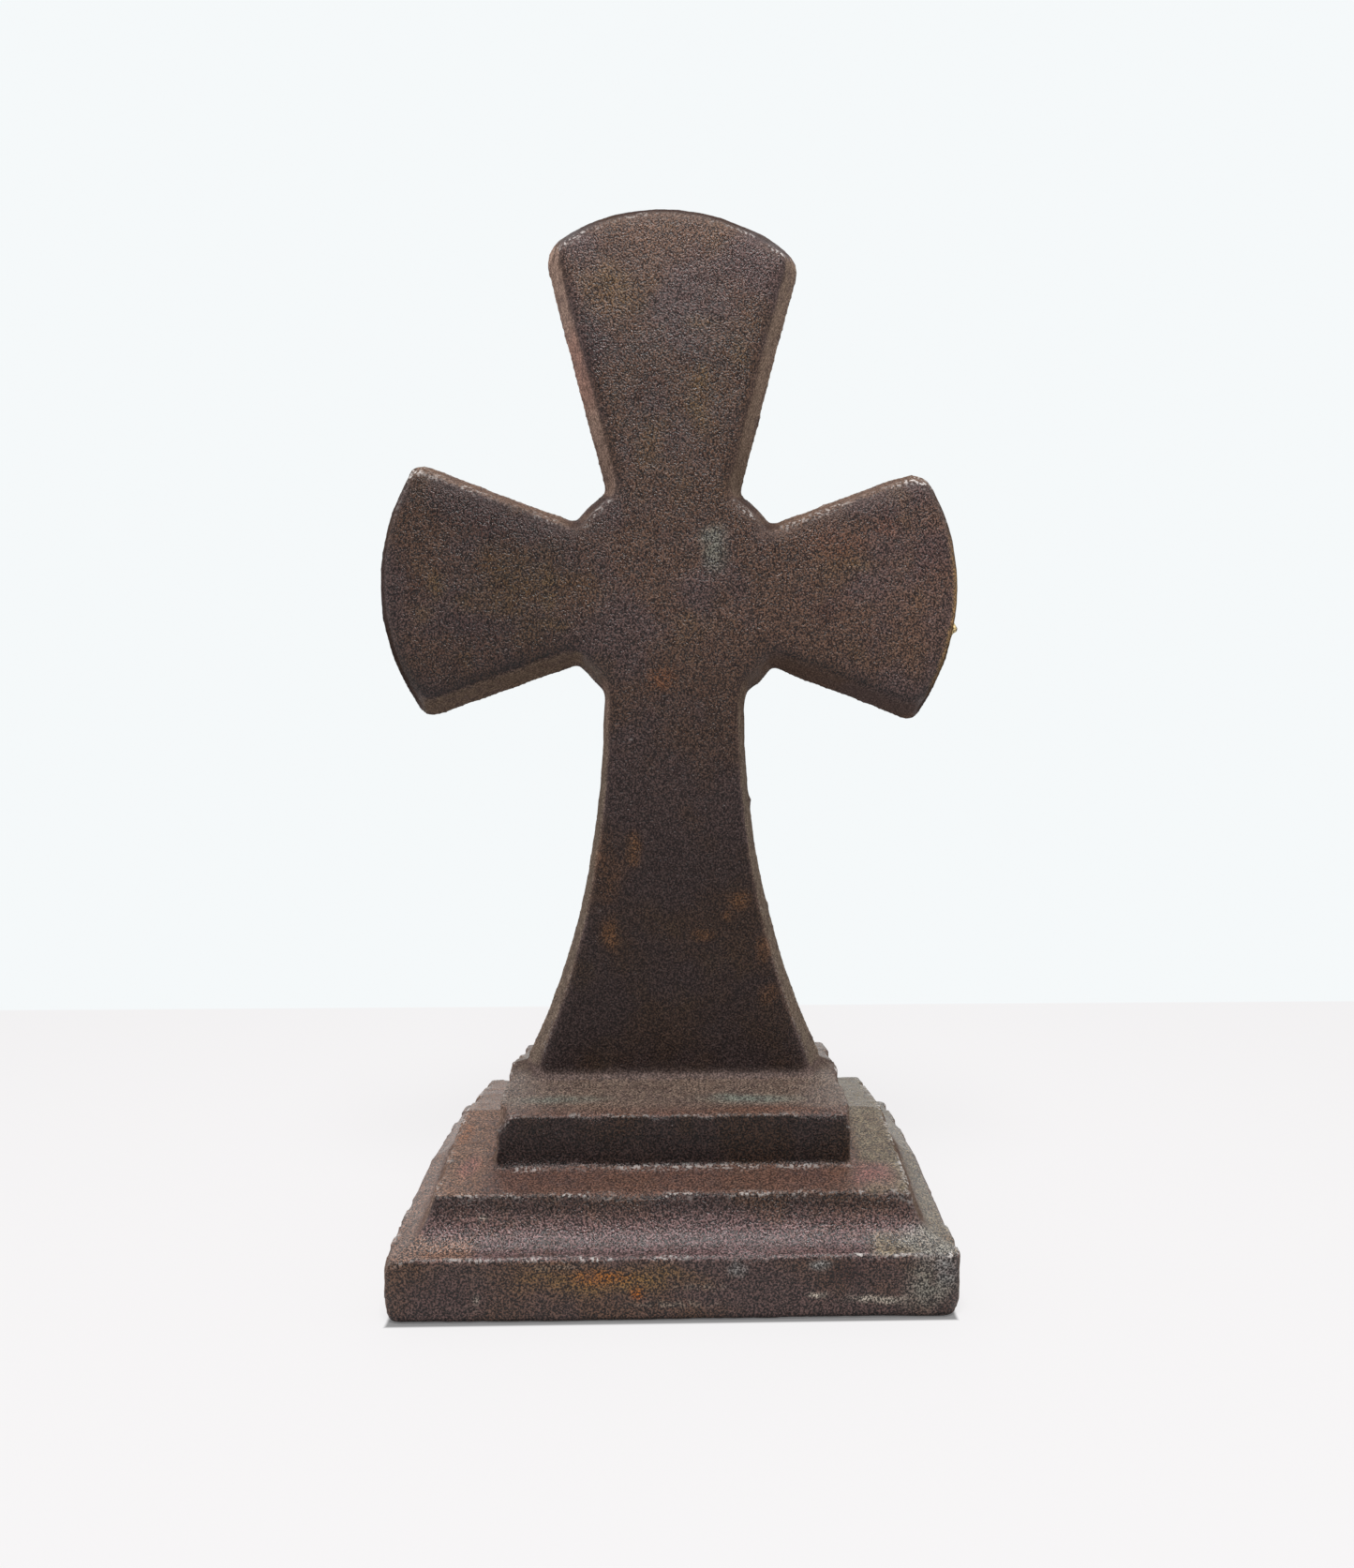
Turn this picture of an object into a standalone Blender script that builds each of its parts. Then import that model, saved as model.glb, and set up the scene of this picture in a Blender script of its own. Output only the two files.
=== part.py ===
# Iron grave cross on a stepped base, cast in one piece.
# Metres, +Z up. The origin is the centre of the underside, and the cross faces -Y.
# The casting parts on the plane y = 0: both halves taper away from that plane, so its
# outline is widest there, and the ledges of the base fall from it to the front and back.

import math

import bmesh
import bpy

# Plinth, the lowest step of the base; its crown is the share of the ledges' fall that its
# upper edge has
PLINTH_WIDTH = 0.1478
PLINTH_DEPTH = 0.1212
PLINTH_HEIGHT = 0.0168
PLINTH_FOOT_ROUND = 0.0014
PLINTH_EDGE_ROUND = 0.0009
PLINTH_CORNER_ROUND = 0.0020
PLINTH_CROWN = 0.5

# Cove between the plinth and the lower ledge
COVE_LIP = 0.0006
COVE_RADIUS = 0.0076
COVE_TURN = math.radians(74)
COVE_HEIGHT = 0.0123

# Ledges and the upper block that the cross stands on
LEDGE_FALL = math.radians(7.0)
LOWER_LEDGE_WIDTH = 0.0144
BLOCK_HEIGHT = 0.0144
STEP_EDGE_ROUND = 0.0008
STEP_FOOT_FILLET = 0.0012
STEP_CORNER_ROUND = 0.0010

# Cross, measured on the parting plane
TOP_HEIGHT = 0.3000
ARM_AXIS_HEIGHT = 0.1895
ARM_SPAN = 0.1697
TOP_END_RADIUS = 0.0570
SIDE_END_RADIUS = 0.0615
SIDE_END_RISE = 0.0016
DISC_RADIUS = 0.0352
TOP_ARM_NECK = 0.0389
TOP_ARM_FLARE = math.radians(14.6)
SIDE_ARM_NECK = 0.0413
SIDE_ARM_FLARE = math.radians(20.3)
SHAFT_WAIST = 0.0415
SHAFT_WAIST_HEIGHT = 0.1560
SHAFT_SIDE_RADIUS = 0.2480
SHAFT_FACE_RADIUS = 0.2720
SHAFT_SINK = 0.0040

# Thickness of the cross, and how far its faces are smaller than its outline
CROSS_THICKNESS = 0.0208
FACE_INSET = 0.0045
WAIST_FACE_INSET = 0.0024
FACE_EDGE_ROUND = 0.0008
TOP_TIP_ROUND = 0.0058
UPPER_TIP_ROUND = 0.0044
LOWER_TIP_ROUND = 0.0032
CROTCH_FILLET = 0.0022
LEAST_TIP_ROUND = 0.0010

# Fineness of the facets
ROUND_STEPS = 3
COVE_STEPS = 6
CORNER_STEPS = 4
TOP_ARC_STEPS = 14
END_ARC_STEPS = 24
DISC_ARC_STEPS = 4
SHAFT_ARC_STEPS = 18

IRON_COLOUR = (0.085, 0.066, 0.058, 1.0)
IRON_ROUGHNESS = 0.55
IRON_METALLIC = 0.3


def clear_scene():
    for obj in list(bpy.data.objects):
        bpy.data.objects.remove(obj)


def iron_material():
    material = bpy.data.materials.new("rusted_cast_iron")
    material.use_nodes = True
    shader = material.node_tree.nodes["Principled BSDF"]
    shader.inputs["Base Color"].default_value = IRON_COLOUR
    shader.inputs["Roughness"].default_value = IRON_ROUGHNESS
    shader.inputs["Metallic"].default_value = IRON_METALLIC
    return material


def loft(name, rings, cap_faces):
    """A closed solid through rings of equally many points, whose ends cap_faces closes."""
    mesh = bmesh.new()
    loops = [[mesh.verts.new(point) for point in ring] for ring in rings]
    for lower, upper in zip(loops, loops[1:]):
        count = len(lower)
        for i in range(count):
            j = (i + 1) % count
            mesh.faces.new((lower[i], lower[j], upper[j], upper[i]))
    cap_faces(mesh, loops[0], loops[-1])
    bmesh.ops.recalc_face_normals(mesh, faces=mesh.faces)
    data = bpy.data.meshes.new(name)
    mesh.to_mesh(data)
    mesh.free()
    solid = bpy.data.objects.new(name, data)
    bpy.context.scene.collection.objects.link(solid)
    return solid


# Stepped base


def base_ring(inset, height, corner_round, crown=1.0):
    """One level of the base: a rectangle with rounded corners, set back by inset from the plinth.

    It lies at the given height along its front and back, and rises to the parting plane
    at the ledges' slope, times crown.
    """
    half_width = PLINTH_WIDTH / 2 - inset
    half_depth = PLINTH_DEPTH / 2 - inset
    plan = []
    for quarter, (side, face) in enumerate(((1, 1), (-1, 1), (-1, -1), (1, -1))):
        if quarter == 1:
            plan.append((0.0, half_depth))
        centre = (side * (half_width - corner_round), face * (half_depth - corner_round))
        for step in range(ROUND_STEPS + 1):
            angle = math.radians(90) * (quarter + step / ROUND_STEPS)
            plan.append(
                (
                    centre[0] + corner_round * math.cos(angle),
                    centre[1] + corner_round * math.sin(angle),
                )
            )
        if quarter == 1:
            plan.append((-half_width, 0.0))
        if quarter == 2:
            plan.append((0.0, -half_depth))
    plan.append((half_width, 0.0))
    slope = crown * math.tan(LEDGE_FALL)
    return [(x, y, height + slope * (half_depth - abs(y))) for x, y in plan]


def rounded_step(inset, height, radius):
    """Insets and heights of a rounded outer edge whose sharp corner is at (inset, height)."""
    edge = []
    for step in range(ROUND_STEPS + 1):
        angle = math.radians(90) * step / ROUND_STEPS
        edge.append(
            (
                inset + radius * (1 - math.cos(angle)),
                height - radius * (1 - math.sin(angle)),
            )
        )
    return edge


def cove_profile():
    """Insets and heights of the cove: a short lip, a hollow curve and a steep straight rise."""
    start = PLINTH_EDGE_ROUND + COVE_LIP
    curve = []
    for step in range(COVE_STEPS + 1):
        angle = COVE_TURN * step / COVE_STEPS
        curve.append(
            (
                start + COVE_RADIUS * math.sin(angle),
                PLINTH_HEIGHT + COVE_RADIUS * (1 - math.cos(angle)),
            )
        )
    return curve


def cove_top_inset():
    """How far the lower ledge's edge is set back from the plinth."""
    inset, height = cove_profile()[-1]
    return inset + (PLINTH_HEIGHT + COVE_HEIGHT - height) / math.tan(COVE_TURN)


def block_inset():
    return cove_top_inset() + LOWER_LEDGE_WIDTH


def block_foot_height():
    return PLINTH_HEIGHT + COVE_HEIGHT + LOWER_LEDGE_WIDTH * math.tan(LEDGE_FALL)


def block_crest_height():
    """Height of the upper block's top on the parting plane."""
    half_depth = PLINTH_DEPTH / 2 - block_inset()
    return block_foot_height() + BLOCK_HEIGHT + half_depth * math.tan(LEDGE_FALL)


def plinth_rings():
    rings = []
    for inset, height in reversed(rounded_step(0.0, 0.0, PLINTH_FOOT_ROUND)):
        rings.append(base_ring(inset, -height, PLINTH_CORNER_ROUND, crown=0.0))
    for inset, height in rounded_step(0.0, PLINTH_HEIGHT, PLINTH_EDGE_ROUND):
        rings.append(base_ring(inset, height, PLINTH_CORNER_ROUND, PLINTH_CROWN))
    return rings


def cove_rings():
    rings = []
    top_height = PLINTH_HEIGHT + COVE_HEIGHT
    for inset, height in cove_profile() + rounded_step(cove_top_inset(), top_height, STEP_EDGE_ROUND):
        climbed = min(inset / cove_top_inset(), 1.0)
        crown = PLINTH_CROWN + (1 - PLINTH_CROWN) * climbed
        rings.append(base_ring(inset, height, STEP_CORNER_ROUND, crown))
    return rings


def block_rings():
    inset = block_inset()
    foot = block_foot_height()
    fillet_rise = STEP_FOOT_FILLET * math.tan(LEDGE_FALL)
    rings = [base_ring(inset - STEP_FOOT_FILLET, foot - fillet_rise, STEP_CORNER_ROUND)]
    for step in range(1, ROUND_STEPS + 1):
        angle = math.radians(90) * step / ROUND_STEPS
        back = STEP_FOOT_FILLET * (1 - math.sin(angle))
        up = STEP_FOOT_FILLET * (1 - math.cos(angle))
        rings.append(base_ring(inset - back, foot + up, STEP_CORNER_ROUND))
    for edge_inset, height in rounded_step(inset, foot + BLOCK_HEIGHT, STEP_EDGE_ROUND):
        rings.append(base_ring(edge_inset, height, STEP_CORNER_ROUND))
    return rings


def cap_base(mesh, underside, top):
    """One face below, and a face on each side of the ridge above."""
    mesh.faces.new(underside)
    ridge = [i for i, vert in enumerate(top) if abs(vert.co.y) < 1e-9]
    left, right = ridge
    mesh.faces.new(top[left:right + 1])
    mesh.faces.new(top[right:] + top[:left + 1])


def make_base():
    return loft("base", plinth_rings() + cove_rings() + block_rings(), cap_base)


# Outline of the cross: straight and round strokes, as (point, direction) or (centre, radius)


def is_round(stroke):
    return not isinstance(stroke[1], tuple)


def meet(first, second, near):
    """The point nearest to near where two strokes cross, at least one of them round."""
    if not is_round(first):
        first, second = second, first
    (cx, cz), radius = first
    if is_round(second):
        (dx, dz), other = second
        apart = math.hypot(dx - cx, dz - cz)
        along = (apart**2 + radius**2 - other**2) / (2 * apart)
        unit = ((dx - cx) / apart, (dz - cz) / apart)
        foot = (cx + along * unit[0], cz + along * unit[1])
        unit = (-unit[1], unit[0])
        reach = math.sqrt(radius**2 - along**2)
    else:
        (px, pz), unit = second
        along = (cx - px) * unit[0] + (cz - pz) * unit[1]
        foot = (px + along * unit[0], pz + along * unit[1])
        reach = math.sqrt(radius**2 - math.dist(foot, (cx, cz)) ** 2)
    found = [(foot[0] + s * reach * unit[0], foot[1] + s * reach * unit[1]) for s in (1, -1)]
    return min(found, key=lambda point: math.dist(point, near))


def stroke_length(stroke, start, end):
    if not is_round(stroke):
        return math.dist(start, end)
    (cx, cz), radius = stroke
    first = math.atan2(start[1] - cz, start[0] - cx)
    last = math.atan2(end[1] - cz, end[0] - cx)
    return radius * abs(math.remainder(last - first, 2 * math.pi))


def walk(stroke, start, end, share):
    """The point at this share of the way from start to end along a stroke."""
    if not is_round(stroke):
        return tuple(a + share * (b - a) for a, b in zip(start, end))
    (cx, cz), radius = stroke
    first = math.atan2(start[1] - cz, start[0] - cx)
    last = math.atan2(end[1] - cz, end[0] - cx)
    angle = first + share * math.remainder(last - first, 2 * math.pi)
    return (cx + radius * math.cos(angle), cz + radius * math.sin(angle))


def offset_line(point, angle, inset):
    """A straight edge through point, moved by inset to the right of its direction."""
    direction = (math.cos(angle), math.sin(angle))
    moved = (point[0] + inset * direction[1], point[1] - inset * direction[0])
    return (moved, direction)


def neck_point(half_neck):
    """Across and along an arm's axis, the point where its edge leaves the central disc."""
    return (half_neck, math.sqrt(DISC_RADIUS**2 - half_neck**2))


def half_outline(inset):
    """The right half of the cross's outline, from its top to its foot, set in by inset.

    Each corner is where two strokes meet. It is then rounded by a curve that leaves one
    stroke and joins the next at the same distance from the corner.
    """
    axis = ARM_AXIS_HEIGHT
    neck_x, neck_up = neck_point(TOP_ARM_NECK / 2)
    neck_z, neck_out = neck_point(SIDE_ARM_NECK / 2)
    top_arc = ((0.0, TOP_HEIGHT - TOP_END_RADIUS), TOP_END_RADIUS - inset)
    top_edge = offset_line((neck_x, axis + neck_up), math.radians(90) - TOP_ARM_FLARE, -inset)
    disc = ((0.0, axis), DISC_RADIUS - inset)
    upper_edge = offset_line((neck_out, axis + neck_z), SIDE_ARM_FLARE, inset)
    end_centre = (ARM_SPAN / 2 - SIDE_END_RADIUS, axis + SIDE_END_RISE)
    end_arc = (end_centre, SIDE_END_RADIUS - inset)
    lower_edge = offset_line((neck_out, axis - neck_z), -SIDE_ARM_FLARE, -inset)
    share = inset / FACE_INSET
    side_radius = SHAFT_SIDE_RADIUS + share * (SHAFT_FACE_RADIUS - SHAFT_SIDE_RADIUS)
    half_waist = SHAFT_WAIST / 2 - share * WAIST_FACE_INSET
    shaft_arc = ((half_waist + side_radius, SHAFT_WAIST_HEIGHT), side_radius)
    foot_height = block_crest_height() - SHAFT_SINK
    foot_line = ((0.0, foot_height), (1.0, 0.0))

    top_tip, upper_tip, lower_tip = (
        max(tip - inset, LEAST_TIP_ROUND)
        for tip in (TOP_TIP_ROUND, UPPER_TIP_ROUND, LOWER_TIP_ROUND)
    )
    crotch = CROTCH_FILLET + inset * math.tan(math.radians(20))
    far_right = (ARM_SPAN, axis)
    far_top = (TOP_ARM_NECK, 2 * TOP_HEIGHT)
    # Stroke, facets along it, where it ends, and how far that corner is rounded
    route = [
        (top_arc, TOP_ARC_STEPS, meet(top_arc, top_edge, far_top), top_tip),
        (top_edge, 1, meet(top_edge, disc, (neck_x, axis + neck_up)), crotch),
        (disc, DISC_ARC_STEPS, meet(disc, upper_edge, (neck_out, axis + neck_z)), crotch),
        (upper_edge, 1, meet(upper_edge, end_arc, far_right), upper_tip),
        (end_arc, END_ARC_STEPS, meet(end_arc, lower_edge, far_right), lower_tip),
        (lower_edge, 1, meet(lower_edge, disc, (neck_out, axis - neck_z)), crotch),
        (disc, DISC_ARC_STEPS, meet(disc, shaft_arc, (SHAFT_WAIST / 2, axis - DISC_RADIUS)), crotch),
        (shaft_arc, SHAFT_ARC_STEPS, meet(shaft_arc, foot_line, (0.0, foot_height)), 0.0),
    ]
    points = []
    start, start_round = (0.0, TOP_HEIGHT - inset), 0.0
    for index, (stroke, steps, end, end_round) in enumerate(route):
        length = stroke_length(stroke, start, end)
        first, last = start_round / length, 1 - end_round / length
        for step in range(steps + 1):
            points.append(walk(stroke, start, end, first + (last - first) * step / steps))
        if end_round:
            following, _, next_end, _ = route[index + 1]
            onward = end_round / stroke_length(following, end, next_end)
            leave, join = points[-1], walk(following, end, next_end, onward)
            for step in range(1, CORNER_STEPS):
                t = step / CORNER_STEPS
                points.append(
                    tuple(
                        (1 - t) ** 2 * a + 2 * t * (1 - t) * b + t**2 * c
                        for a, b, c in zip(leave, end, join)
                    )
                )
        start, start_round = end, end_round
    return points


def cross_ring(y, inset):
    """The whole outline at depth y: the right half, then the left half back up."""
    right = half_outline(inset)
    left = [(-x, z) for x, z in reversed(right[1:])]
    return [(x, y, z) for x, z in right + left]


def face_edge_rings():
    """Depths and insets from the flat face, over its rounded edge, to the parting plane."""
    half = CROSS_THICKNESS / 2
    slant = math.hypot(half, FACE_INSET)
    share = FACE_EDGE_ROUND / slant
    on_face = (-half, FACE_INSET + FACE_EDGE_ROUND)
    on_side = (-half * (1 - share), FACE_INSET * (1 - share))
    middle = tuple((a + 2 * b + c) / 4 for a, b, c in zip(on_face, (-half, FACE_INSET), on_side))
    return [on_face, middle, on_side]


def cap_cross(mesh, front, back):
    mesh.faces.new(front)
    mesh.faces.new(back)


def make_cross():
    front_half = face_edge_rings()
    back_half = [(-y, inset) for y, inset in reversed(front_half)]
    levels = front_half + [(0.0, 0.0)] + back_half
    return loft("cross", [cross_ring(y, inset) for y, inset in levels], cap_cross)


def main():
    clear_scene()
    casting = make_base()
    casting.name = "grave_cross"
    casting.data.materials.append(iron_material())
    cross = make_cross()
    cross.hide_render = True
    cross.display_type = "WIRE"
    joined = casting.modifiers.new("cast_in_one", "BOOLEAN")
    joined.operation = "UNION"
    joined.object = cross
    casting.data.shade_smooth()
    casting.data.set_sharp_from_angle(angle=math.radians(30))


main()
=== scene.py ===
import math

import bpy
import numpy as np
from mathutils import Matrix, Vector, noise


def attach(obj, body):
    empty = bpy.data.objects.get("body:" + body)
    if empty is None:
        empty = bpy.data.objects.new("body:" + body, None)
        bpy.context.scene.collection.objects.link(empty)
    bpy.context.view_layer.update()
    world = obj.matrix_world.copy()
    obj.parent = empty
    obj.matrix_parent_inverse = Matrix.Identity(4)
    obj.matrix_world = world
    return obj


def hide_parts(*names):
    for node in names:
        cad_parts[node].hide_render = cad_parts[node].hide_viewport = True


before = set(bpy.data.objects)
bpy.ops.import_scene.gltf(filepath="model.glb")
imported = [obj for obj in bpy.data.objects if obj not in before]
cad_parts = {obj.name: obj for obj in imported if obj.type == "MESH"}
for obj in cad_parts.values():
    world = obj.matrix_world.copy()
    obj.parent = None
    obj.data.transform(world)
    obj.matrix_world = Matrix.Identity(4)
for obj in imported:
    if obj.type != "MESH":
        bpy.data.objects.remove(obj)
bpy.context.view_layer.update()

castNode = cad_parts["grave_cross"]
mm = 0.001


def pickOnly(piece):
    bpy.ops.object.select_all(action="DESELECT")
    piece.select_set(True)
    bpy.context.view_layer.objects.active = piece


def ramp(value, start, end):       # 0 before start, 1 after end, smooth between
    share = np.clip((value - start) / (end - start), 0.0, 1.0)
    return share * share * (3.0 - 2.0 * share)


# the camera, at the photo's angle
print("camera")
cameraSetup = {
    "place": (0.00344, -0.36253, 0.15749),
    "tiltDown": 3.76,          # degrees below level
    "turnRight": 1.56,         # degrees towards +X
    "lens": 27.974,            # mm on a 36 mm frame
    "shiftX": -0.02654,        # the photo is cropped off its centre
    "photo": (1445, 1673),     # its size in pixels
}
bpy.ops.object.camera_add(
    location=cameraSetup["place"],
    rotation=(
        math.radians(90 - cameraSetup["tiltDown"]),
        0.0,
        math.radians(-cameraSetup["turnRight"]),
    ),
)
photoCamera = bpy.context.object
photoCamera.name = "photoCamera"
photoCamera.data.sensor_width = 36.0
photoCamera.data.lens = cameraSetup["lens"]
photoCamera.data.shift_x = cameraSetup["shiftX"]
photoCamera.data.clip_start = 0.01
bpy.context.scene.camera = photoCamera


def sightLine(pixelX, pixelY):     # from the camera through a pixel of the photo
    width, height = cameraSetup["photo"]
    line = Vector((
        pixelX - width / 2 + cameraSetup["shiftX"] * height,
        height / 2 - pixelY,
        -cameraSetup["lens"] / 36.0 * height,
    ))
    line.rotate(photoCamera.rotation_euler)
    return line.normalized()


def seamSpot(pixelX, pixelY):      # where that line meets the mould's parting plane, y = 0
    line = sightLine(pixelX, pixelY)
    return photoCamera.location - line * (photoCamera.location.y / line.y)


def skinSpot(piece, pixelX, pixelY):     # where it meets the iron
    found, spot, normal, face = piece.ray_cast(photoCamera.location, sightLine(pixelX, pixelY))
    return spot if found else seamSpot(pixelX, pixelY)


# the floor, the air around and one soft light
print("floor and light")
bpy.context.scene.view_settings.view_transform = "Standard"
studio = {
    "floorSize": 12.0,
    "tableEnd": 0.266,         # behind the cross, where the table meets the backdrop
    "tableTone": (0.91, 0.895, 0.90, 1.0),
    "backTone": (0.915, 0.945, 0.955, 1.0),
    "glow": 0.84,              # share of the floor's brightness that casts no shadow
    "covered": (73.0 * mm, 61.7 * mm),     # half of the plinth's footprint, a little deeper in front for a painted contact shadow
    "darkBelow": 0.2,          # share of the glow that is left under it, a painted contact shadow
    "matt": 0.13,              # share of the light on it that it gives back
    "front": (0.05, 0.048, 0.046, 1.0),    # the dim room on the camera's side
    "sideGain": 1.1,           # the air to the left and right is brighter than behind
    "lampPlace": (0.0, -0.32, 0.80),
    "lampSize": 0.24,
    "lampPower": 5.5,
}


def newMaterial(name):
    material = bpy.data.materials.new(name)
    material.use_nodes = True
    return material, material.node_tree


def addNode(tree, kind, **values):
    node = tree.nodes.new(kind)
    for key, value in values.items():
        setattr(node, key, value)
    return node


def remap(tree, value, low, high, start=0.0, end=1.0, smooth=True):
    node = addNode(tree, "ShaderNodeMapRange", interpolation_type="SMOOTHSTEP" if smooth else "LINEAR")
    node.inputs["From Min"].default_value = low
    node.inputs["From Max"].default_value = high
    node.inputs["To Min"].default_value = start
    node.inputs["To Max"].default_value = end
    tree.links.new(value, node.inputs["Value"])
    return node.outputs["Result"]


def blendColor(tree, share, first, second, how="MIX"):
    node = addNode(tree, "ShaderNodeMix", data_type="RGBA", blend_type=how)
    for name, value in (("Factor", share), ("A", first), ("B", second)):
        socket = next(s for s in node.inputs if s.name == name and s.enabled)
        if isinstance(value, (float, int)):
            socket.default_value = value
        elif isinstance(value, tuple):
            socket.default_value = (*value[:3], 1.0)
        else:
            tree.links.new(value, socket)
    return next(s for s in node.outputs if s.enabled)


def combine(tree, how, first, second):
    node = addNode(tree, "ShaderNodeMath", operation=how)
    for socket, value in zip(node.inputs, (first, second)):
        if isinstance(value, (float, int)):
            socket.default_value = value
        else:
            tree.links.new(value, socket)
    return node.outputs[0]


bpy.ops.mesh.primitive_plane_add(size=studio["floorSize"], location=(0, 0, 0))
floor = bpy.context.object
floor.name = "floor"
floorPaint, tree = newMaterial("paleTable")
coords = addNode(tree, "ShaderNodeTexCoord")
split = addNode(tree, "ShaderNodeSeparateXYZ")
tree.links.new(coords.outputs["Object"], split.inputs[0])
beyond = remap(tree, split.outputs["Y"], studio["tableEnd"] - 2 * mm, studio["tableEnd"] + 2 * mm)
paint = blendColor(tree, beyond, studio["tableTone"], studio["backTone"])
tableShader = tree.nodes["Principled BSDF"]
matt = remap(tree, beyond, 0.0, 1.0, studio["matt"], 0.0, False)
glow = remap(tree, beyond, 0.0, 1.0, studio["glow"], 1.0, False)
# the floor glows less under the plinth and in a thin strip before it: a painted contact shadow
outside = []
for axis, half in zip("XY", studio["covered"]):
    fromMiddle = combine(tree, "ABSOLUTE", split.outputs[axis], 0.0)
    outside.append(remap(tree, fromMiddle, half - 0.6 * mm, half + 0.6 * mm))
openFloor = combine(tree, "MAXIMUM", *outside)
glow = combine(tree, "MULTIPLY", glow, remap(tree, openFloor, 0.0, 1.0, studio["darkBelow"], 1.0, False))
tree.links.new(blendColor(tree, matt, (0, 0, 0), paint), tableShader.inputs["Base Color"])
tree.links.new(blendColor(tree, glow, (0, 0, 0), paint), tableShader.inputs["Emission Color"])
tableShader.inputs["Emission Strength"].default_value = 1.0
tableShader.inputs["Roughness"].default_value = 1.0
tableShader.inputs["Specular IOR Level"].default_value = 0.0
floor.data.materials.append(floorPaint)

air = bpy.data.worlds.new("studioAir")
bpy.context.scene.world = air
air.use_nodes = True
tree = air.node_tree
coords = addNode(tree, "ShaderNodeTexCoord")
split = addNode(tree, "ShaderNodeSeparateXYZ")
tree.links.new(coords.outputs["Generated"], split.inputs[0])
behind = remap(tree, split.outputs["Y"], -0.75, 0.25)
above = remap(tree, split.outputs["Z"], 0.50, 0.95)
# the dim side lights the iron and shows in its gloss, the camera sees a pale backdrop all round
inView = addNode(tree, "ShaderNodeLightPath").outputs["Is Camera Ray"]
pale = combine(tree, "MAXIMUM", inView, combine(tree, "MAXIMUM", behind, above))
tree.links.new(
    blendColor(tree, pale, studio["front"], studio["backTone"]), tree.nodes["Background"].inputs["Color"]
)
aside = remap(tree, combine(tree, "ABSOLUTE", split.outputs["X"], 0.0), 0.60, 0.95, 1.0, studio["sideGain"])
tree.links.new(aside, tree.nodes["Background"].inputs["Strength"])

bpy.ops.object.light_add(type="AREA", location=studio["lampPlace"])
lamp = bpy.context.object
lamp.name = "softBox"
lamp.data.size = studio["lampSize"]
lamp.data.energy = studio["lampPower"]
lampAim = Vector(studio["lampPlace"]) - Vector((0, 0, 0.15))      # at the middle of the cross
lamp.rotation_euler = lampAim.to_track_quat("Z", "Y").to_euler()


# the iron: the CAD node's copy is sculpted as one fine mesh
print("casting: fine mesh")
castSkin = {
    "voxel": 0.60 * mm,        # of the sculpting mesh
    "triangles": 188000,       # left on the finished piece
    "arrisOut": 0.7 * mm,      # the cross's arrises stand out from the solid's
    "armTopsOut": 2.1 * mm,
    "leftEndOut": 0.7 * mm,    # these two are added at the arms' ends
    "rightEndOut": 1.9 * mm,
    "creaseReach": 2.6 * mm,   # how far the fillet at the shaft's foot reaches
    "creasePasses": 14,
    "arrisPasses": 5,
    "wornPasses": 5,           # for the worn stretches of the base's edges
    "covePasses": 40,
    "topLean": 0.040,          # the top's arc stands higher on the left
    "armShift": 0.9 * mm,      # both arms sit to the left
    "armLean": 0.0075,         # and lean down to the right
    "seamReach": 0.7 * mm,     # the ridge left by the mould's parting line
    "seamHeight": 0.22 * mm,
    "burrReach": 2.4 * mm,
    "burrHeight": 0.45 * mm,
    "straw": (1015, 671),      # photo pixel of a bit of straw stuck to the right arm's end
    "strawHeight": 1.3 * mm,
    "swell": (22 * mm, 0.55 * mm),       # size and height of each kind of wave
    "lumps": (6.0 * mm, 0.28 * mm),
    "grit": (1.5 * mm, 0.16 * mm),
    "footGap": 0.9 * mm,       # how far the plinth's lower edge is worn up off the floor
}
plinthHalf = (73.9 * mm, 60.6 * mm)
footZ = 48.3 * mm              # where the shaft's faces meet the sloping top of the block
crestZ = 49.6 * mm             # where its sides do
crossZ = 51 * mm               # the cross alone is above this
crossFace = 10.4 * mm          # half its thickness
pickOnly(castNode)
casting = castNode.copy()
casting.data = castNode.data.copy()
casting.name = "sandCasting"
bpy.context.scene.collection.objects.link(casting)
casting.parent = None
casting.matrix_world = castNode.matrix_world
pickOnly(casting)
bpy.ops.object.mode_set(mode="EDIT")
bpy.ops.mesh.select_all(action="SELECT")
bpy.ops.mesh.remove_doubles(threshold=0.01 * mm)
bpy.ops.object.mode_set(mode="OBJECT")


def shape(piece, kind, **values):        # one modifier, applied at once
    modifier = piece.modifiers.new("step", kind)
    for key, value in values.items():
        setattr(modifier, key, value)
    bpy.ops.object.modifier_apply(modifier="step")


def readPoints(piece, what="co"):
    values = np.empty(len(piece.data.vertices) * 3)
    piece.data.vertices.foreach_get(what, values)
    return values.reshape(-1, 3)


def writePoints(piece, points):
    piece.data.vertices.foreach_set("co", points.ravel())
    piece.data.update()


def smoothOnly(piece, chosen, passes):   # rounds the chosen points' edges, flat parts stay
    piece.data.polygons.foreach_set("select", np.zeros(len(piece.data.polygons), dtype=bool))
    piece.data.vertices.foreach_set("select", chosen)
    bpy.ops.object.mode_set(mode="EDIT")
    bpy.ops.mesh.select_mode(type="VERT")
    bpy.ops.mesh.vertices_smooth(factor=0.5, repeat=passes)
    bpy.ops.object.mode_set(mode="OBJECT")


shape(casting, "REMESH", mode="VOXEL", voxel_size=castSkin["voxel"])
shape(casting, "SHRINKWRAP", target=castNode, wrap_method="NEAREST_SURFACEPOINT")

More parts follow.
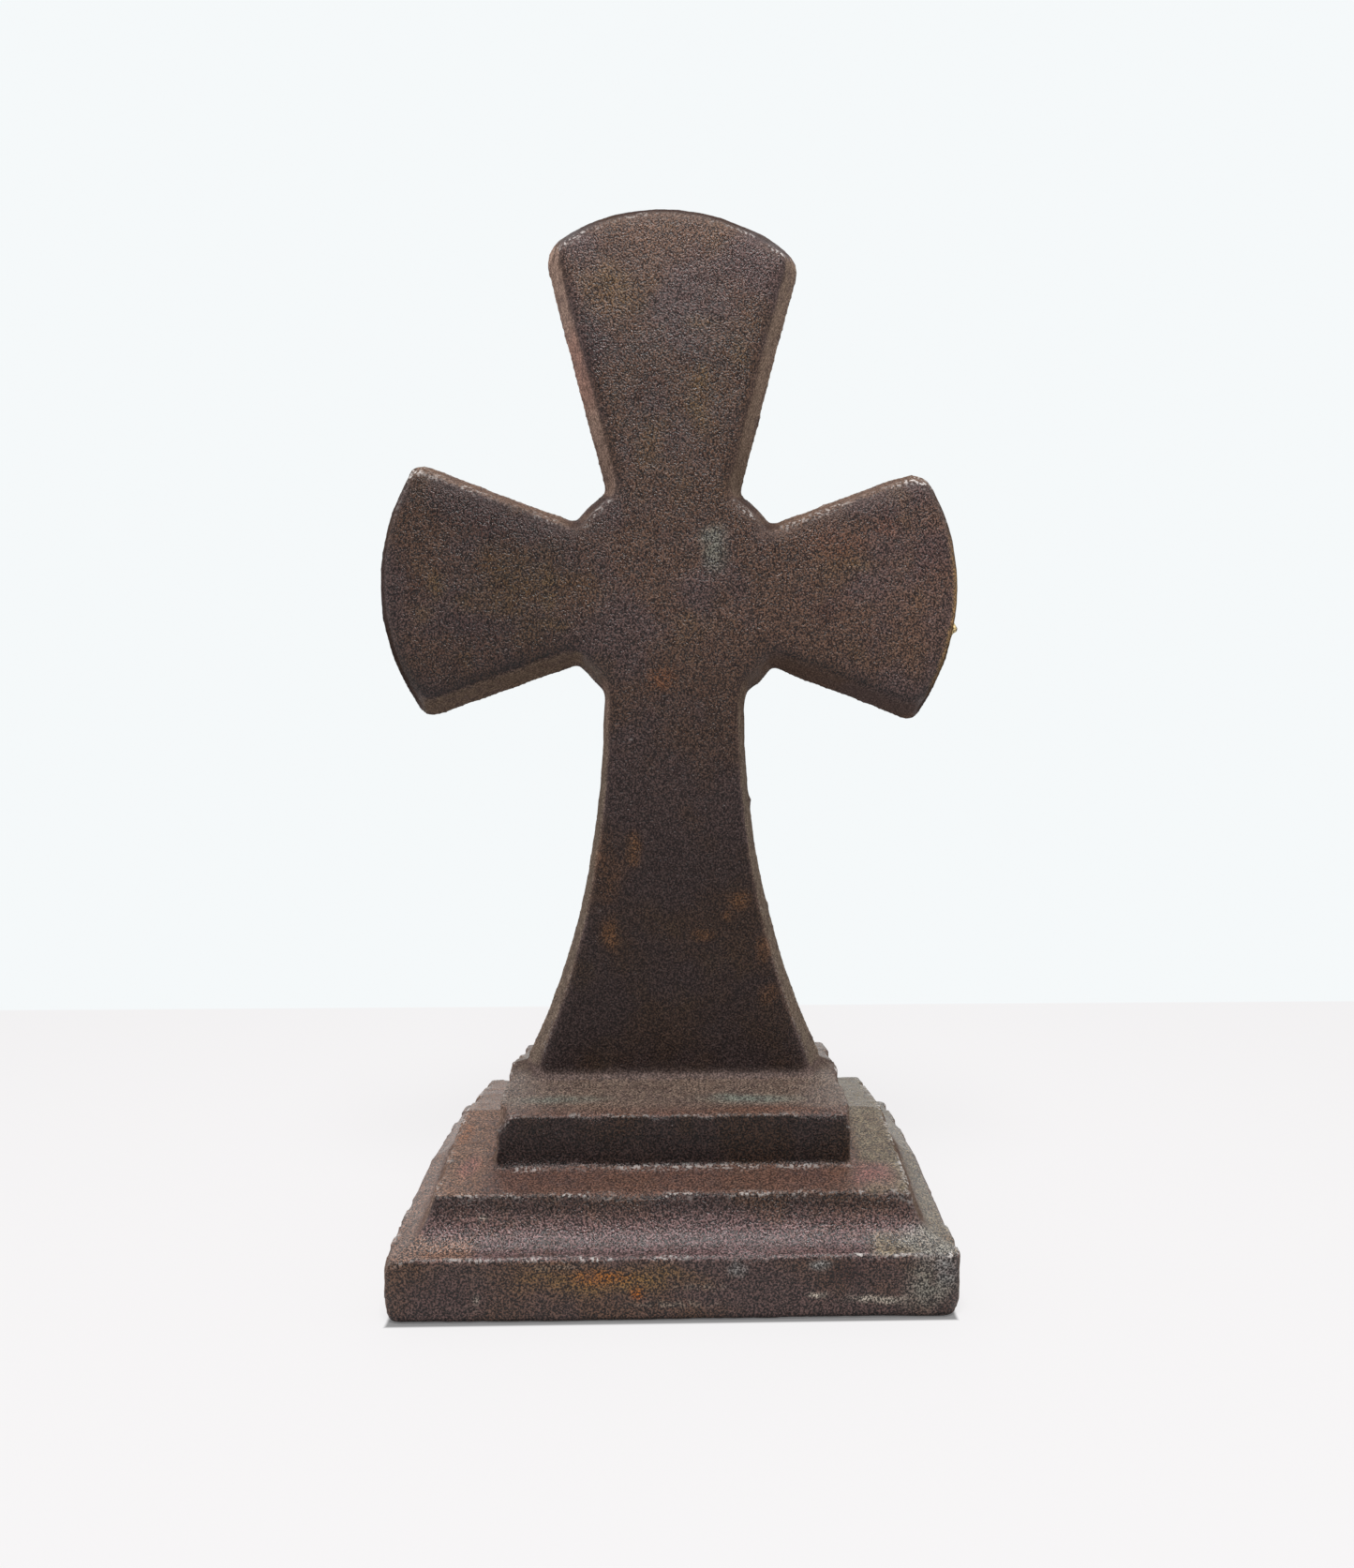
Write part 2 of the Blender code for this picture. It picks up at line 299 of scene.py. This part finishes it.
print("casting: arrises and the shaft's foot")
points = readPoints(casting)
normals = readPoints(casting, "normal")
x, y, z = points.T
slant = np.hypot(normals[:, 0], normals[:, 2])       # 0 on the faces, 1 on the sides
outward = normals * (1, 0, 1) / np.maximum(slant, 1e-6)[:, None]
armZone = ramp(np.abs(x), 0.024, 0.034) * ramp(z, 0.140, 0.150) * (1 - ramp(z, 0.236, 0.242))
atEnds = armZone * ramp(np.abs(x), 0.066, 0.078) * ramp(np.abs(outward[:, 0]), 0.6, 0.9)
spread = castSkin["arrisOut"] * (1 - ramp(z, 0.262, 0.275) * ramp(outward[:, 2], 0.3, 0.7))
spread += (castSkin["armTopsOut"] - castSkin["arrisOut"]) * armZone * ramp(outward[:, 2], 0.4, 0.8)
spread += np.where(x < 0, castSkin["leftEndOut"], castSkin["rightEndOut"]) * atEnds
spread *= ramp(slant, 0.3, 0.7) * ramp(np.abs(y), 1.5 * mm, 10 * mm) * ramp(z, 0.050, 0.056)
writePoints(casting, points + outward * spread[:, None])
points = readPoints(casting)
x, y, z = points.T
reach = castSkin["creaseReach"]
nearFoot = (np.abs(np.abs(y) - crossFace) < reach) & (np.abs(z - footZ) < reach)
nearCrest = (np.abs(y) < crossFace) & (np.abs(z - crestZ) < reach) & (np.abs(x) < 47 * mm)
smoothOnly(casting, nearFoot | nearCrest, castSkin["creasePasses"])
onFaces = (z > crossZ) & (np.abs(y) > 6.5 * mm)
smoothOnly(casting, onFaces, castSkin["arrisPasses"])
worn = np.zeros(len(points), dtype=bool)
for i in np.nonzero(z < crossZ)[0]:
    worn[i] = noise.noise(Vector(points[i]) * 95) + 0.5 * noise.noise(Vector(points[i]) * 260) > 0.12
smoothOnly(casting, worn & (z > 1 * mm), castSkin["wornPasses"])
smoothOnly(casting, (z < 27 * mm) & (z > 18 * mm), castSkin["covePasses"])

print("casting: uneven form")
points = readPoints(casting)
flatBelow = points[:, 2] < 0.05 * mm
x, y, z = points.T
armBand = ramp(z, 0.135, 0.150) * (1 - ramp(z, 0.228, 0.245))
leftShift = castSkin["armShift"] * ramp(np.abs(x), 0.033, 0.080) * armBand
topLift = -castSkin["topLean"] * x * ramp(z, 0.268, 0.292)
armLift = -castSkin["armLean"] * x * armBand
points = np.column_stack((x - leftShift, y, z + topLift + armLift))
# pushes of single places: centre, reach and move, all in mm
pushes = (
    ((-27, 0, 164), 13, (0.9, 0, 0)),      # the crotches under the arms
    ((27, 0, 164), 13, (0.9, 0, 0)),
    ((71, 0, 226), 10, (-0.4, 0, -0.7)),   # the right arm's upper tip
    ((-71, 0, 226), 10, (-0.2, 0, 0.4)),
    ((-48.7, -35.4, 44.5), 4.5, (1.3, 1.0, -0.9)),     # the block's worn corner
    ((-73.9, -60.6, 0), 5, (0.9, 0.7, 0)),     # the plinth's lower corners
    ((73.9, -60.6, 0), 5, (-0.9, 0.7, 0)),
    ((-73.9, -60.6, 17), 3.5, (0.5, 0.4, -0.5)),
)
for centre, reach, move in pushes:         # they reach farther through the thickness
    away = np.linalg.norm((points - np.array(centre) * mm) * (1.0, 0.35, 1.0), axis=1)
    points += np.outer(1 - ramp(away, 0.0, reach * mm), np.array(move) * mm)


def near(spot, start, end):        # 1 within start of a spot, 0 beyond end
    return 1 - ramp(np.linalg.norm(points - np.array(spot), axis=1), start, end)


# single lumps and pits: photo pixel, reach and height in mm
marks = (
    (674, 791, 1.1, 0.45), (640, 974, 1.0, 0.40), (460, 1337, 1.6, -0.6), (444, 1350, 1.8, -0.6),
    (930, 1369, 1.3, -0.5), (436, 1344, 1.1, -0.5), (1019, 1351, 1.2, 0.4), (784, 1262, 1.0, 0.3),
)
writePoints(casting, points)
normals = readPoints(casting, "normal")
for pixelX, pixelY, reach, height in marks:
    spot = skinSpot(casting, pixelX, pixelY)
    points += normals * (height * mm * near(spot, 0.0, reach * mm))[:, None]
writePoints(casting, points)

print("casting: seam of the mould")
# photo pixels along the outline
burrs = (
    (1020, 605), (798, 855), (819, 965), (868, 1106), (891, 1130), (894, 1146), (912, 1147),
    (940, 1181), (969, 1216), (577, 1112), (552, 1132), (464, 1240),
)
points = readPoints(casting)
normals = readPoints(casting, "normal")
ridge = np.exp(-((points[:, 1] / castSkin["seamReach"]) ** 2)) * (1 - ramp(np.abs(normals[:, 1]), 0.35, 0.65))
ridge *= ramp(points[:, 2], 1.5 * mm, 4 * mm)
ragged = np.zeros(len(points))
for i in np.nonzero(ridge > 0.02)[0]:
    spot = Vector(points[i])
    spot.y = 0.0
    ragged[i] = 0.35 + 1.3 * max(0.0, noise.noise(spot * 260)) + 1.4 * max(0.0, noise.noise(spot * 90) - 0.1)
calmBase = 0.45 + 0.55 * ramp(points[:, 2], 44 * mm, 52 * mm)      # less on the base
lift = castSkin["seamHeight"] * ridge * ragged * calmBase
for pixel in burrs:
    lift += castSkin["burrHeight"] * calmBase * ridge * near(seamSpot(*pixel), 0.0, castSkin["burrReach"])
lift += castSkin["strawHeight"] * near(seamSpot(*castSkin["straw"]), 0.5 * mm, 1.8 * mm)
writePoints(casting, points + normals * lift[:, None])

print("casting: waves and grit of the sand")
for name, depth in (("swell", 1), ("lumps", 1), ("grit", 2)):
    size, height = castSkin[name]
    pattern = bpy.data.textures.new(name, "CLOUDS")
    pattern.noise_scale = size
    pattern.noise_depth = depth
    shape(casting, "DISPLACE", texture=pattern, texture_coords="LOCAL", strength=height, mid_level=0.5)
points = readPoints(casting)
rim = np.maximum(np.abs(points[:, 0]) - plinthHalf[0], np.abs(points[:, 1]) - plinthHalf[1])
under = ramp(rim, -1.2 * mm, 0.0)
lowEdge = np.zeros(len(points))
for i in np.nonzero((points[:, 2] < 2.5 * mm) & (under > 0))[0]:
    spot = Vector(points[i])
    lowEdge[i] = 0.45 + 0.55 * noise.noise(spot * 55) + 0.35 * noise.noise(spot * 210)
lowEdge = np.clip(lowEdge, 0.05, 1.0) * castSkin["footGap"] * under
points[:, 2] = np.where(flatBelow, lowEdge, np.maximum(points[:, 2], 0.02 * mm + lowEdge))
writePoints(casting, points)

shape(casting, "TRIANGULATE")
shape(casting, "DECIMATE", ratio=castSkin["triangles"] / len(casting.data.polygons))
casting.data.polygons.foreach_set("use_smooth", np.ones(len(casting.data.polygons), dtype=bool))
print("casting:", len(casting.data.polygons), "triangles")

print("casting: wear and patina")
mesh = casting.data
points = readPoints(casting)
normals = readPoints(casting, "normal")
ends = np.empty(len(mesh.edges) * 2, dtype=int)
mesh.edges.foreach_get("vertices", ends)
ends = ends.reshape(-1, 2)
along = points[ends[:, 1]] - points[ends[:, 0]]
turn = normals[ends[:, 1]] - normals[ends[:, 0]]
bend = (turn * along).sum(axis=1) / np.maximum((along ** 2).sum(axis=1), 1e-12)
sums = np.zeros(len(points))
counts = np.zeros(len(points))
for side in (0, 1):
    np.add.at(sums, ends[:, side], bend)
    np.add.at(counts, ends[:, side], 1)
curve = sums / np.maximum(counts, 1)       # 1/m, above 0 on an arris
for smoothing in range(2):
    sums = curve * 2
    counts = np.full(len(points), 2.0)
    for side in (0, 1):
        np.add.at(sums, ends[:, side], curve[ends[:, 1 - side]])
        np.add.at(counts, ends[:, side], 1)
    curve = sums / counts
px, py, pz = (points / mm).T
nx, ny, nz = normals.T
ironSkin = {
    "glintWearFrom": 60,            # curvature in 1/m of an arris where rubbed wear and painted glints begin
    "glintWearSpan": 300,           # and how much more makes it full
    "glintWearOnCross": 1.6,        # the cross's arrises have so much more of it
    "glintWearBehind": 0.75,        # and its parting line and rear arrises so much less
    "glintWearBlockTop": 0.6,       # and so has the block's upper edge
    "creaseGlint": 0.5,         # a painted glint line in the corner under the block
    # pale colour of the wear and painted glints on the arrises
    "wornEdgeGlint": (0.60, 0.55, 0.52),
    "stainsOnCross": 0.80,     # the share of their strength that stains keep on the cross
    # factors, by height in mm and across the arms, darker towards the shaft's foot
    "heightTone": (
        (48, 0.53), (75, 0.48), (108, 0.49), (150, 0.69), (185, 0.98), (225, 0.87), (255, 0.82), (290, 1.24),
    ),
    "acrossArms": ((-80, 0.84), (-40, 0.71), (-15, 0.98), (15, 1.0), (50, 1.13), (80, 1.36)),
    # painted shade on the block's front, below the shaft
    "blockFront": 0.47,
    # shares added to the tone, below 0 is darker, all painted light and shade; the sides get it by height
    "sides": ((50, -0.10), (130, -0.15), (170, 0.0), (225, 0.1), (250, 0.45)),
    # painted shade under the arms, along their lower arrises and on their ends
    "underArms": -0.10,
    "lowerArris": -0.35,
    "armEnds": -0.30,
    # a painted highlight in the cove's middle and painted shade under the ledge
    "coveMiddle": 0.30,
    "coveTop": -0.22,
    # painted shade on the cross's upward faces
    "topOfCross": -0.30,
    # painted bounce light low on the plinth and a painted contact shadow along its foot
    "plinthFront": 0.10,
    "footLine": -0.5,
    # specular level, and what two places add to it
    "gloss": 0.32,
    "ledgeGloss": -0.14,
    "coveGloss": 0.26,
    # shares of it that these lose
    "upperArrisDull": 0.7,
    "topArmDull": 0.25,
    "shaftDull": 0.45,
    "roughness": (0.24, 0.36),
    "grainScale": 2000.0,      # 1/m
    "grainTone": (0.20, 2.45),     # how dark its hollows and how light its tops are
    "hollowTone": (0.062, 0.044, 0.045),   # the dust in its hollows is purplish
    "grainHeight": 0.38 * mm,
}
aboveBase = ramp(pz, 50, 52)
# wear and painted glints, kept to arrises that face up
edgeWearGlint = (curve - ironSkin["glintWearFrom"]) * (1 + ironSkin["glintWearOnCross"] * aboveBase) / ironSkin["glintWearSpan"]
edgeWearGlint = np.clip(edgeWearGlint, 0, 1) * ramp(nz, 0.1, 0.5)
edgeWearGlint *= 1 - ironSkin["glintWearBehind"] * aboveBase * ramp(py, -7, -4)
edgeWearGlint *= 1 - ironSkin["glintWearBlockTop"] * (np.abs(pz - 45.5) < 2)
# a painted glint line along the crease at the block's foot
blockFoot = np.exp(-(((pz - 31) / 0.5) ** 2)) * (np.abs(px) < 50) * (np.abs(py) < 38)
edgeWearGlint = np.maximum(edgeWearGlint, ironSkin["creaseGlint"] * blockFoot)


def addLayer(name, values):        # one number a point, for the material
    layer = mesh.attributes.new(name, "FLOAT", "POINT")
    layer.data.foreach_set("value", values)


addLayer("arris", edgeWearGlint)


def seen(red, green, blue):        # the paint that looks like this colour of the photo
    return np.array([max(0.004, (c / 255) ** 2.2 - 0.020) for c in (red, green, blue)])


patina = {
    "umber": seen(83, 68, 61),
    "plum": seen(80, 68, 66),
    "ochre": seen(95, 78, 58),
    "olive": seen(108, 86, 60),
    "rust": seen(136, 82, 46),
    "tan": seen(130, 94, 68),
    "redBrown": seen(98, 72, 62),
    "redSide": seen(142, 109, 98),
    "greySide": seen(117, 104, 92),
    "tanSide": seen(149, 125, 112),
    "oliveSide": seen(118, 101, 88),
    "armTop": seen(107, 88, 77),
    "endGold": seen(150, 118, 80),
    "armUnder": seen(103, 88, 76),
    "tanLedge": seen(120, 93, 78),
    "oliveLedge": seen(110, 100, 84),
    "blockTop": seen(110, 97, 88),
    "fillet": seen(102, 87, 82),
    "coveDustAndSheen": seen(99, 81, 81),
    "ledge": seen(98, 74, 65),
    "violet": seen(74, 61, 60),
    "mint": seen(106, 108, 100),
    "bluish": seen(132, 134, 132),
    "pale": seen(160, 152, 140),
    "straw": seen(250, 222, 160),
    "pink": seen(122, 84, 80),
    "sootAndShade": seen(58, 47, 43),
}
# stains seen from the front: tone, photo pixel, half width and half height in mm, strength
stains = (
    ("ochre", 560, 620, 26, 14, 0.55), ("ochre", 655, 310, 9, 9, 0.6), ("ochre", 748, 402, 4, 5, 0.7),
    ("ochre", 743, 440, 4, 5, 0.6), ("ochre", 790, 380, 3, 5, 0.5), ("ochre", 700, 452, 6, 5, 0.4),
    ("ochre", 745, 345, 6, 4, 0.5), ("violet", 640, 390, 7, 11, 0.7), ("violet", 795, 290, 9, 11, 0.6),
    ("violet", 690, 420, 8, 8, 0.5), ("violet", 512, 552, 13, 7, 0.8), ("ochre", 467, 622, 3, 5, 0.7),
    ("ochre", 494, 640, 4, 3, 0.5), ("ochre", 452, 655, 5, 4, 0.5), ("ochre", 584, 632, 3, 11, 0.6),
    ("ochre", 592, 668, 6, 3, 0.7), ("ochre", 497, 705, 3, 5, 0.4), ("sootAndShade", 441, 621, 3, 5, 0.6),
    ("violet", 512, 670, 9, 6, 0.7), ("rust", 706, 725, 5, 4, 0.3), ("ochre", 744, 664, 6, 5, 0.4),
    ("redBrown", 893, 578, 11, 6, 0.6), ("redBrown", 944, 562, 5, 4, 0.7),
    ("ochre", 915, 602, 5, 2, 0.5), ("violet", 990, 596, 7, 11, 0.7), ("violet", 893, 640, 9, 7, 0.5),
    ("sootAndShade", 883, 653, 3, 3, 0.5), ("mint", 763, 586, 5, 7, 0.8), ("tan", 679, 898, 2.2, 4.0, 0.7),
    ("tan", 674, 916, 2.4, 3.4, 0.6), ("tan", 650, 935, 5.5, 11, 0.35),
    ("tan", 652, 996, 3.4, 6.2, 0.75), ("tan", 789, 960, 4.4, 3.6, 0.7),
    ("tan", 775, 977, 2.2, 1.8, 0.7), ("tan", 750, 1000, 4.6, 2.4, 0.55),
    ("tan", 813, 1012, 2.6, 4.6, 0.6), ("tan", 822, 1059, 3.4, 4, 0.5),
    ("mint", 800, 1172, 17, 2.4, 1.0), ("mint", 600, 1173, 15, 2.2, 0.8),
    ("redBrown", 830, 1183, 20, 1.5, 0.7), ("pink", 936, 1252, 7, 6, 0.9),
    ("pink", 500, 1245, 3, 9, 0.6), ("rust", 498, 1210, 2, 5, 0.4), ("pale", 990, 1370, 8, 6, 0.25),
    ("bluish", 985, 1328, 7, 5, 0.4), ("bluish", 1010, 1352, 3, 5, 0.5),
    ("rust", 652, 1362, 2.6, 1.4, 0.8), ("rust", 681, 1378, 2.2, 3.0, 1.0),
    ("olive", 655, 1365, 28, 5, 0.8), ("rust", 640, 1362, 10, 3, 0.5),
    ("pale", 720, 1392, 14, 0.7, 0.35), ("pale", 750, 1374, 8, 0.6, 0.35),
    ("pale", 600, 1352, 9, 0.6, 0.25), ("bluish", 788, 1353, 3.2, 2.2, 0.6),
    ("bluish", 875, 1350, 3.6, 1.6, 0.6), ("violet", 470, 1378, 12, 6, 0.5),
    ("pale", 874, 1381, 3.2, 0.9, 1.0), ("pale", 935, 1386, 9.5, 1.2, 0.8),
    ("mint", 990, 1372, 8, 7, 0.5), ("sootAndShade", 905, 1360, 9, 4, 0.5), ("pale", 508, 1390, 0.8, 2.6, 0.5),
    ("pale", 516, 1298, 1.6, 0.7, 0.6),
)

print("casting: patina")
noise.seed_set(5)              # or noise_vector would start from the clock
wander = np.array([noise.noise_vector(Vector(p) * 110) for p in points])
paint = np.tile(patina["umber"], (len(points), 1))
cover = np.zeros(len(points))


def lay(tone, share):              # one coat over what is there, cover is how thick it all is
    share = np.clip(share, 0, 1)
    total = share + cover * (1 - share)
    mix = np.divide(share, total, out=np.zeros_like(share), where=total > 0)[:, None]
    paint[:] = paint * (1 - mix) + patina[tone] * mix
    cover[:] = total


onBase = 1 - ramp(pz, 49, 52)
upward = ramp(nz, 0.55, 0.85)
lay("ledge", 0.75 * upward * onBase * ramp(pz, 24, 27))
# a pale coat low in the cove: dust with a painted sheen
coveGlow = ramp(pz, 15.5, 17) * (1 - ramp(pz, 18.5, 27.5))
lay("coveDustAndSheen", 0.9 * coveGlow)
onArms = ramp(np.abs(px), 26, 34) * ramp(pz, 140, 150) * (1 - ramp(pz, 234, 242))
besideArms = 1 - 0.9 * onArms
lay("tanSide", 0.80 * ramp(-nx, 0.6, 0.95) * besideArms)
lay("oliveSide", 0.85 * ramp(nx, 0.6, 0.95) * besideArms)
lay("greySide", 0.85 * ramp(np.abs(nx), 0.6, 0.95) * (1 - ramp(pz, 130, 170)) * (1 - onBase))
lay("redSide", 0.8 * ramp(-nx, 0.6, 0.95) * ramp(pz, 238, 248) * (1 - ramp(pz, 258, 268)))
lay("tanLedge", 0.7 * upward * onBase * ramp(-px, 49, 54))
lay("oliveLedge", 0.85 * upward * onBase * ramp(px, 49, 54))
# painted shade on the cross's upward faces
lay("sootAndShade", 0.4 * upward * (1 - onBase) * (1 - onArms))
lay("armTop", 0.8 * ramp(nz, 0.4, 0.7) * onArms)
lay("armUnder", (0.9 - 0.75 * (px > 0)) * ramp(-nz, 0.45, 0.75) * ramp(pz, 140, 150))
# a yellowish line along the right arm's end
endLine = onArms * ramp(px, 72, 78) * ramp(nx, 0.35, 0.65) * ramp(-py, 4.0, 6.5)
lay("endGold", 0.8 * endLine * ramp(pz, 148, 158) * (1 - ramp(pz, 195, 212)))
lay("blockTop", 0.8 * upward * ramp(pz, 45, 46.3) * onBase)
# a painted highlight along the fillet at the shaft's foot
lay("fillet", 0.85 * ramp(pz, 46.5, 48) * (1 - ramp(pz, 49.5, 51.5)) * ramp(-ny, 0.2, 0.5))
for tone, pixelX, pixelY, wide, high, strength in stains:
    spot = np.array(skinSpot(casting, pixelX, pixelY)) / mm
    deep = max(2.5, min(8.0, 1.6 * high))
    away = (points / mm + wander * min(wide, high) * 0.6 - spot) / (wide, deep, high)
    kept = 1.0 if spot[2] < 50 or tone == "tan" else ironSkin["stainsOnCross"]
    lay(tone, kept * strength * (1 - ramp(np.linalg.norm(away, axis=1), 0.2, 1.2)))
lay("straw", near(seamSpot(*castSkin["straw"]), 1.7 * mm, 2.2 * mm))
patinaPaint = mesh.color_attributes.new("patina", "FLOAT_COLOR", "POINT")
patinaPaint.data.foreach_set("color", np.column_stack((paint, cover)).ravel())

print("casting: light and dark")
facing = ramp(np.abs(ny), 0.75, 0.95)
onSides = ramp(np.abs(nx), 0.6, 0.9)
onCross = ramp(pz, 48.0, 49.5)
below = ramp(-nz, 0.35, 0.8) * ramp(pz, 140, 150)
lowerArris = ramp(-nz, 0.10, 0.28) * (1 - ramp(-nz, 0.40, 0.60)) * ramp(pz, 140, 150)
armsFace = facing * ramp(pz, 150, 160) * (1 - ramp(pz, 222, 240))
blockFront = ramp(pz, 30.5, 32.0) * (1 - ramp(pz, 44.5, 45.5)) * (np.abs(px) < 50) * facing
onCove = ramp(np.abs(ny), 0.4, 0.7) * (1 - ramp(pz, 28.5, 29.0))


def levelAt(place, name):          # a list of places and values, read at each point
    return np.interp(place, *zip(*ironSkin[name]))


# painted light and shade, with the darkening towards the shaft's foot and across the arms
shade = 1 + facing * onCross * (levelAt(pz, "heightTone") - 1)
shade *= 1 + ironSkin["underArms"] * below + ironSkin["lowerArris"] * lowerArris * onArms
shade *= 1 + ironSkin["armEnds"] * onArms * ramp(np.abs(nx), 0.6, 0.8)
shade *= 1 + armsFace * (levelAt(px, "acrossArms") - 1)
shade *= 1 + blockFront * (ironSkin["blockFront"] - 1)
shade *= 1 + onSides * levelAt(pz, "sides") * besideArms
coveMiddle = onCove * ramp(pz, 18, 20.5) * (1 - ramp(pz, 23, 25.5))
shade *= 1 + ironSkin["coveMiddle"] * coveMiddle + ironSkin["coveTop"] * onCove * ramp(pz, 24, 26)
shade *= 1 + ironSkin["topOfCross"] * upward * onCross * (1 - onArms)
shade *= 1 + ironSkin["plinthFront"] * (1 - ramp(pz, 15.5, 17)) * ramp(pz, 0.8, 2.2)
shade *= 1 + ironSkin["footLine"] * (1 - ramp(pz, 0.5, 1.6))
addLayer("tone", shade)

frontal = 1 - ramp(np.abs(nx), 0.3, 0.75)          # the sides are dull
gloss = ironSkin["gloss"] * frontal + ironSkin["ledgeGloss"] * upward * ramp(pz, 26, 28)
gloss = np.maximum(gloss, 0.0) + ironSkin["coveGloss"] * coveGlow * frontal
gloss *= (1 - upward * onCross) * (1 - below)
gloss *= 1 - ironSkin["upperArrisDull"] * onCross * ramp(nz, 0.05, 0.25)
gloss *= 1 - ironSkin["topArmDull"] * ramp(pz, 255, 285)
gloss *= 1 - ironSkin["shaftDull"] * onCross * (1 - ramp(pz, 90, 200))
addLayer("gloss", gloss)

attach(casting, "root")
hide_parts("grave_cross")

print("casting: rusted iron")
iron, tree = newMaterial("rustedCastIron")
coords = addNode(tree, "ShaderNodeTexCoord").outputs["Object"]


def cloud(scale, detail=2.0, rough=0.5, where=coords):
    node = addNode(tree, "ShaderNodeTexNoise")
    node.inputs["Scale"].default_value = scale
    node.inputs["Detail"].default_value = detail
    node.inputs["Roughness"].default_value = rough
    tree.links.new(where, node.inputs["Vector"])
    return node.outputs["Fac"]


def painted(name):
    return addNode(tree, "ShaderNodeAttribute", attribute_name=name)


shader = tree.nodes["Principled BSDF"]
glossLevel = painted("gloss").outputs["Fac"]
shader.inputs["Specular IOR Level"].default_value = 0.25       # stands in where the link is dropped
tree.links.new(glossLevel, shader.inputs["Specular IOR Level"])
tone = blendColor(tree, remap(tree, cloud(45, 3), 0.40, 0.60), tuple(patina["umber"]), tuple(patina["plum"]))
tone = blendColor(tree, remap(tree, cloud(70, 4), 0.54, 0.72, 0.0, 0.22), tone, tuple(patina["ochre"]))
coat = painted("patina")
patchy = remap(tree, cloud(420, 3, 0.6), 0.34, 0.58, 0.45, 1.0)
tone = blendColor(tree, combine(tree, "MULTIPLY", coat.outputs["Alpha"], patchy), tone, coat.outputs["Color"])
turned = addNode(tree, "ShaderNodeMapping")        # so that no face lies along the noise's own planes
turned.inputs["Rotation"].default_value = (0.62, 0.41, 0.93)
tree.links.new(coords, turned.inputs["Vector"])
grain = cloud(ironSkin["grainScale"], 1.5, 0.6, turned.outputs["Vector"])
grainShare = remap(tree, glossLevel, 0.0, ironSkin["gloss"], 0.4, 1.0, False)     # less on the dull sides
hollows = combine(tree, "MULTIPLY", grainShare, remap(tree, grain, 0.40, 0.52, 0.45, 0.0))
tone = blendColor(tree, hollows, tone, ironSkin["hollowTone"])
# where the iron is dull, a painted sheen is added to its tone, as much as the gloss gives elsewhere
tone = blendColor(tree, 1.0, tone, remap(tree, glossLevel, 0.0, ironSkin["gloss"], 0.02, 0.0, False), "ADD")
# the painted light and shade of the tone layer
tone = blendColor(tree, 1.0, tone, painted("tone").outputs["Fac"], "MULTIPLY")
peaks = combine(tree, "POWER", remap(tree, grain, 0.37, 0.66), 1.4)
speckle = remap(tree, peaks, 0.0, 1.0, *ironSkin["grainTone"], False)
tone = blendColor(tree, grainShare, tone, blendColor(tree, 1.0, tone, speckle, "MULTIPLY"))
# pale specks along the arrises: wear and painted glints
edge = combine(tree, "MULTIPLY", painted("arris").outputs["Fac"], remap(tree, cloud(1050), 0.51, 0.59))
edge = combine(tree, "MULTIPLY", edge, remap(tree, cloud(110), 0.40, 0.58, 0.15, 1.0))
tone = blendColor(tree, edge, tone, ironSkin["wornEdgeGlint"])
tree.links.new(tone, shader.inputs["Base Color"])
tree.links.new(remap(tree, cloud(300), 0.3, 0.7, *ironSkin["roughness"]), shader.inputs["Roughness"])
bump = addNode(tree, "ShaderNodeBump")
bump.inputs["Strength"].default_value = 1.0
bump.inputs["Distance"].default_value = ironSkin["grainHeight"]
tree.links.new(grain, bump.inputs["Height"])
tree.links.new(bump.outputs["Normal"], shader.inputs["Normal"])
casting.data.materials.clear()
casting.data.materials.append(iron)
